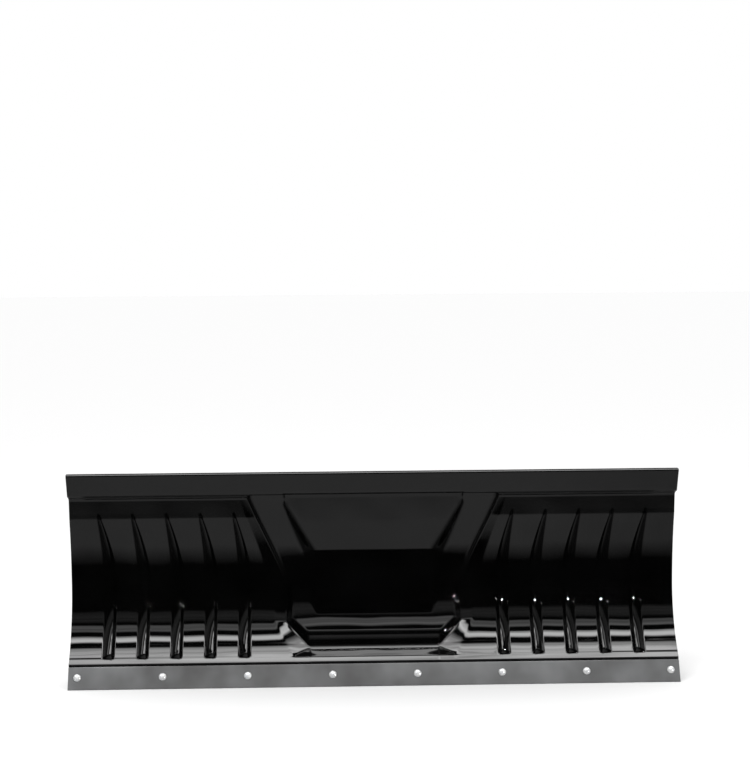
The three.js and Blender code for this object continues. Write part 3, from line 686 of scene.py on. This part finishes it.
def make_bars():
    holes = [(x, BOLT_UP, BOLT_HOLE) for x in BOLT_PLACES]
    half = BLADE_HALF
    ends = [(-half, 0), (half, 0), (half, BAR_HEIGHT), (-half, BAR_HEIGHT)]
    bar = plate_mesh("wear_bar_plate", ends, holes, BAR_THICK, 1.4, BAR_ENAMEL_PAINTED_REFLECTION)
    bar.transform(BAR_AXES @ Matrix.Translation((0, 0, -BAR_THICK / 2 * MM)))
    for vertex in bar.vertices:
        if vertex.co.z < 0:
            vertex.co.y -= vertex.co.z * math.tan(-BAR_LEAN)
            vertex.co.z = 0
    fit(piece_of("wear_bar_plate", bar), "blade", "black_enamel", "wear_bar")
    bottom, top, thick = BACKING
    face = -BAR_THICK - SHEET - 2 * GAP
    ends = [(-half, bottom), (half, bottom), (half, top), (-half, top)]
    backing = plate_mesh("backing_bar_plate", ends, holes, thick, 0.8, POWDER)
    backing.transform(BAR_AXES @ Matrix.Translation((0, 0, (face - thick / 2) * MM)))
    fit(piece_of("backing_bar_plate", backing), "blade", "frame_black", "backing_bar")


def thread(radius, low, high, pitch=1.25, depth=0.55):
    """[radius, height] pairs of a threaded stretch, from low to high."""
    pairs = []
    count = int((high - low) / pitch)
    for i in range(count):
        base = low + i * pitch
        pairs += [(radius - depth, base), (radius, base + pitch * 0.5)]
    return pairs


def hex_nut(name, flats, hole, low, high, material):
    """A chamfered hexagon nut between two heights; flats and hole are distances from the axis."""
    segments, chamfer = 60, 0.58
    points, rings = [], []

    def ring(radius_at, height_at):
        rings.append(len(points))
        for i in range(segments):
            angle = 2 * math.pi * i / segments
            radius = radius_at(angle)
            points.append((radius * MM * math.cos(angle), radius * MM * math.sin(angle),
                           height_at(radius) * MM))

    def hexagon(angle):
        return flats / math.cos((angle + math.pi / 6) % (math.pi / 3) - math.pi / 6)

    ring(lambda _: hole, lambda _: low + 0.5)
    ring(lambda _: hole + 0.6, lambda _: low)
    ring(lambda _: flats * 0.97, lambda _: low)
    ring(hexagon, lambda r: low + 0.15 + max(0, r - flats) * chamfer)
    ring(hexagon, lambda r: high - 0.15 - max(0, r - flats) * chamfer)
    ring(lambda _: flats * 0.97, lambda _: high)
    ring(lambda _: hole + 0.6, lambda _: high)
    ring(lambda _: hole, lambda _: high - 0.5)
    faces = []
    for a, b in zip(rings, rings[1:] + rings[:1]):
        for i in range(segments):
            j = (i + 1) % segments
            faces.append((b + j, b + i, a + i, a + j))
    mesh = bpy.data.meshes.new(name)
    mesh.from_pydata(points, [], faces)
    mesh.validate()
    mesh.materials.append(material)
    mesh.shade_smooth()
    mesh.set_sharp_from_angle(angle=math.radians(25))
    return mesh


def make_wear_bolts():
    rear = -BAR_THICK - SHEET - 2 * GAP - BACKING[2]
    dome = [(8.2 * math.cos(t), GAP + 4.5 * math.sin(t)) for t in np.linspace(0.12, math.pi / 2, 12)]
    dome[-1] = (0, GAP + 4.5)
    shank = [(0, rear - 10), (3.2, rear - 10)] + thread(4.0, rear - 9.4, rear + 3)
    shank += [(4.0, rear + 4), (4.0, GAP)]
    for i, x in enumerate(BOLT_PLACES):
        bolt = lathe(f"carriage_bolt_{i + 1}", shank + [(7.9, GAP)] + dome, ZINC)
        place = BAR_AXES @ Matrix.Translation((x * MM, BOLT_UP * MM, 0))
        fit(piece_of(f"carriage_bolt_{i + 1}", bolt, place), "blade", "zinc_plate", f"wear_bolt_{i + 1}")
        nut = hex_nut(f"hex_nut_{i + 1}", 6.45, 4.2, rear - GAP - 6.5, rear - GAP, ZINC)
        fit(piece_of(f"hex_nut_{i + 1}", nut, place), "blade", "zinc_plate", f"wear_nut_{i + 1}")


make_bars()
make_wear_bolts()

# ---------------------------------------------------------------- springs


def swept(name, path, radius, material, sides=10):
    """A round wire of one radius along a smooth path of points, closed at both ends; all in millimetres."""
    path = np.asarray(path, float)
    ahead = np.gradient(path, axis=0)
    ahead /= np.linalg.norm(ahead, axis=1)[:, None]
    side = np.cross(ahead[0], (0.3, 0.5, 0.81))
    points, faces = [], []
    for at, direction in zip(path, ahead):
        side = side - direction * np.dot(side, direction)
        side /= np.linalg.norm(side)
        other = np.cross(direction, side)
        for i in range(sides):
            angle = 2 * math.pi * i / sides
            points.append(at + radius * (math.cos(angle) * side + math.sin(angle) * other))
    for ring in range(len(path) - 1):
        for i in range(sides):
            j = (i + 1) % sides
            a, b = ring * sides, (ring + 1) * sides
            faces.append((a + i, a + j, b + j, b + i))
    last = (len(path) - 1) * sides
    faces += [tuple(range(sides))[::-1], tuple(last + i for i in range(sides))]
    return mesh_piece(name, place_mm(np.array(points)), faces, material, 60)


# The trip springs hang between the frame's lugs and the blade's eye bolts; the lock spring is round its pin.
CHEEK_X, LUG_Y, LUG_Z, EYE_Y, EYE_Z = 138.0, 205.0, 222.0, 134.0, 385.0
LOCK_Y = 360.0


def coil(radius, low, high, turns, steps=18):
    angles = np.linspace(0, 2 * math.pi * turns, int(turns * steps) + 1)
    heights = np.linspace(low, high, len(angles))
    return np.stack([radius * np.sin(angles), -radius * np.cos(angles), heights], 1)


def make_trip_springs():
    wire, radius, hook, reach = 2.2, 11.7, 8.5, 31.0
    for side, sign in (("left", -1), ("right", 1)):
        low = np.array([sign * CHEEK_X, LUG_Y, LUG_Z])
        high = np.array([sign * CHEEK_X, EYE_Y, EYE_Z])
        length = float(np.linalg.norm(high - low))
        up = (high - low) / length
        across = np.array([1.0, 0, 0])
        third = np.cross(up, across)
        turn_on = [(hook * math.sin(t), 0.0, hook * (1 - math.cos(t)))
                   for t in np.radians(np.arange(-140, 141, 14))]
        lead = [(3.4, -2.0, 19.5), (1.5, -6.5, 24.0), (0.5, -10.5, 28.5)]
        body = coil(radius, reach, length - reach, 24)
        end = [(a, b, length - c) for a, b, c in (turn_on + lead)[::-1]]
        path = np.array(turn_on + lead + [tuple(p) for p in body] + end)
        world = low + path[:, :1] * across + path[:, 1:2] * third + path[:, 2:] * up
        spring = swept(f"trip_spring_wire_{side}", world, wire, SPRING)
        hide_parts(f"trip_spring_{side}")
        start, end_at = (place_mm(low + up * at) for at in (26.0, length - 26.0))
        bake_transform(spring)


def make_lock_spring():
    low, high, wire, radius = 173.7, 194.3, 1.1, 10.0
    body = coil(radius, low, high, 5)
    flat = [(radius * math.sin(t), -radius * math.cos(t), low) for t in np.radians(np.arange(-340, 0, 20))]
    top = [(radius * math.sin(t), -radius * math.cos(t), high) for t in np.radians(np.arange(20, 341, 20))]
    path = np.array(flat + [tuple(p) for p in body] + top) + np.array([0, LOCK_Y, 0])
    spring = swept("lock_spring_wire", path, wire, SPRING, 8)
    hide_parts("lock_spring")
    start, end_at = (place_mm(np.array([0, LOCK_Y, z])) for z in (low, high))
    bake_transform(spring)


make_trip_springs()
make_lock_spring()

# ---------------------------------------------------------------- turned pieces and nuts behind the blade

SKID_X, SKID_Y = 471.0, 150.0
KING_Y = 255.0


def chamfered_tube(inner, outer, low, high, chamfer=1.0):
    """[radius, height] pairs of a tube with all four edges chamfered."""
    start = (inner, low + chamfer)
    bottom = [start, (inner + chamfer, low), (outer - chamfer, low), (outer, low + chamfer)]
    top = [(outer, high - chamfer), (outer - chamfer, high), (inner + chamfer, high), (inner, high - chamfer)]
    return bottom + top + [start]


def make_skids():
    for side, sign in (("left", -1), ("right", 1)):
        body = f"skid_{side}"
        place = shift(sign * SKID_X, SKID_Y, 0)
        rim = [(50 - 2 * (1 - math.sin(t)), 16 + 2.4 * math.cos(t))
               for t in np.linspace(math.pi * 0.75, 0.3, 6)]
        under = [(0, 0), (27, 0), (31, 0.5), (36, 2.2), (41, 5), (46, 9.8)]
        over = [(44, 15), (38, 9.5), (31, 6.8), (25, 6), (20.5, 6.2), (19, 7.5), (18, 10), (18, 25), (17, 26)]
        socket = [(11.5, 26), (11.5, 5), (0, 5)]
        dish = under + rim + over + socket
        fit(piece_of(f"dish_{side}", lathe(f"dish_{side}", dish, CAST, 64, 50), place), body, "cast_steel",
            f"skid_shoe_{side}")
        low, high, washers = 26.3, 74.7, 8
        tall = (high - low) / washers
        stack = [(11.5, low)]
        for i in range(washers):
            base = low + i * tall
            stack += [(14.4, base + 0.05), (15, base + 0.6), (15, base + tall - 0.6),
                      (14.4, base + tall - 0.05)]
        stack += [(11.5, high), (11.5, low)]
        fit(piece_of(f"washers_{side}", lathe(f"washers_{side}", stack, ZINC, 48, 30), place), body,
            "zinc_plate", f"skid_spacer_{side}")
        sleeve = chamfered_tube(11.5, 16, 75, 135)
        fit(piece_of(f"sleeve_{side}", lathe(f"sleeve_{side}", sleeve, POWDER, 48), place), "blade",
            "frame_black", f"skid_sleeve_{side}")


def make_pivot():
    place = shift(0, KING_Y, 0)
    barrel = chamfered_tube(15.3, 28, 72, 116)
    fit(piece_of("barrel", lathe("barrel", barrel, POWDER, 64), place), "push_head", "frame_black",
        "pivot_barrel")
    bush = chamfered_tube(12.3, 15, 70.5, 117.5, 0.5)
    fit(piece_of("bush", lathe("bush", bush, BRONZE, 56), place), "push_head", "bronze", "king_bush")
    nut = hex_nut("big_nut", 17.6, 12.3, 45.7, 61.7, ZINC)
    fit(piece_of("big_nut", nut, place), "push_head", "zinc_plate", "king_nut")


make_skids()
make_pivot()

# ---------------------------------------------------------------- carried-over CAD nodes

SLOTS = {entry["node"]: entry["material_slot"] for entry in frame["record"]["subparts"]}


EDGE_ROUND, EDGE_ANGLE, WELD_REACH = 0.0006, math.radians(40), 0.00001


def dress_cad_nodes():
    """Every CAD node that still shows gets its finish and slightly rounded edges."""
    for name, node in frame["nodes"].items():
        if node.hide_render:
            continue
        node.data.materials.clear()
        node.data.materials.append(FINISHES[SLOTS[name]])
        weld = node.modifiers.new("weld", "WELD")
        weld.merge_threshold = WELD_REACH
        edge = node.modifiers.new("edge", "BEVEL")
        edge.width = EDGE_ROUND
        edge.segments = 2
        edge.limit_method = "ANGLE"
        edge.angle_limit = EDGE_ANGLE


dress_cad_nodes()

# ---------------------------------------------------------------- floor

FLOOR_HALF, FLOOR_DROP = 60, 0.0005


def make_floor():
    corners = [(-1, -1), (1, -1), (1, 1), (-1, 1)]
    mesh = bpy.data.meshes.new("floor")
    mesh.from_pydata([(FLOOR_HALF * a, FLOOR_HALF * b, 0) for a, b in corners], [], [(0, 1, 2, 3)])
    mesh.materials.append(finish("pale_floor", grey(0.93), 0.9, specular=0.0)[0])
    floor = bpy.data.objects.new("floor", mesh)
    scene.collection.objects.link(floor)
    floor.location.z = cad_box[0].z - FLOOR_DROP
    floor.visible_glossy = False


make_floor()
